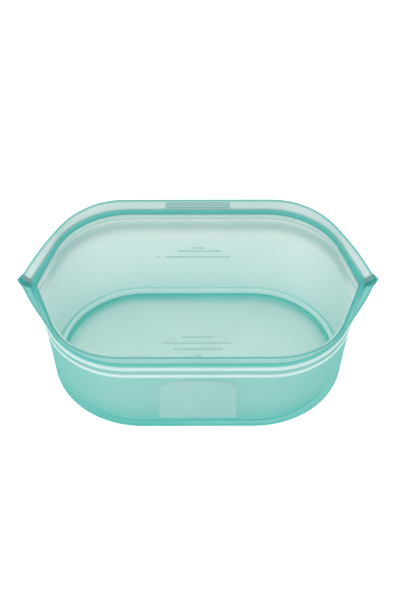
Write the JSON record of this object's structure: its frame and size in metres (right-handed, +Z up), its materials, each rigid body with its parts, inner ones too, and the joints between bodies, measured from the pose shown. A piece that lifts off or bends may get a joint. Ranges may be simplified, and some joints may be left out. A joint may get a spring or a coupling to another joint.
{
  "type": "press-to-close silicone food container",
  "caption": "Stand-up dish of translucent teal silicone with a flat oval floor, leaning walls and a mouth with pointed ends that presses shut with a tongue and groove.",
  "frame": {"origin": "middle of the underside, on the surface it stands on", "axes": "+X along the mouth from tip to tip, -Y towards the front wall with the panel, +Z up"},
  "size_m": [0.2186, 0.1314, 0.075],
  "materials": {
    "clear_silicone": "satin",
    "thick_silicone": "satin",
    "matt_silicone": "matte"
  },
  "bodies": {
    "tub": {"base_ring": "thick_silicone", "fill_marks": "clear_silicone", "floor_marks": "clear_silicone", "floor_panel": "clear_silicone", "front_left_flange": "clear_silicone", "front_left_track": "clear_silicone", "front_left_wall": "clear_silicone", "front_right_flange": "clear_silicone", "front_right_track": "clear_silicone", "front_right_wall": "clear_silicone", "front_wall": "clear_silicone", "left_tip": "thick_silicone", "rear_left_flange": "clear_silicone", "rear_left_track": "clear_silicone", "rear_left_wall": "clear_silicone", "rear_right_flange": "clear_silicone", "rear_right_track": "clear_silicone", "rear_right_wall": "clear_silicone", "rear_wall": "clear_silicone", "right_tip": "thick_silicone", "write_on_panel": "matt_silicone"},
    "front_lip": {"front_track": "clear_silicone", "front_bead": "thick_silicone", "front_flange": "clear_silicone", "tongue": "thick_silicone"},
    "rear_lip": {"rear_track": "clear_silicone", "rear_bead": "thick_silicone", "rear_flange": "clear_silicone", "lower_groove_rail": "thick_silicone", "upper_groove_rail": "thick_silicone", "grip_ribs": "clear_silicone"}
  },
  "joints": [
    {"name": "front_close", "type": "hinge", "parent": "tub", "child": "front_lip", "pos_m": [0, -0.0585, -0.14882], "axis": [-1, 0, 0], "range_deg": [0, 16], "deforming": ["fill_marks", "front_left_flange", "front_left_track", "front_left_wall", "front_right_flange", "front_right_track", "front_right_wall", "front_wall", "left_tip", "rear_left_flange", "rear_left_track", "rear_left_wall", "rear_right_flange", "rear_right_track", "rear_right_wall", "rear_wall", "right_tip", "write_on_panel"]},
    {"name": "rear_close", "type": "hinge", "parent": "tub", "child": "rear_lip", "pos_m": [0, 0.0585, -0.14882], "axis": [1, 0, 0], "range_deg": [0, 16], "deforming": ["fill_marks", "front_left_flange", "front_left_track", "front_left_wall", "front_right_flange", "front_right_track", "front_right_wall", "front_wall", "left_tip", "rear_left_flange", "rear_left_track", "rear_left_wall", "rear_right_flange", "rear_right_track", "rear_right_wall", "rear_wall", "right_tip", "write_on_panel"]}
  ],
  "couplings": [
    {"joint": "rear_close", "follows": "front_close", "ratio": 1}
  ]
}
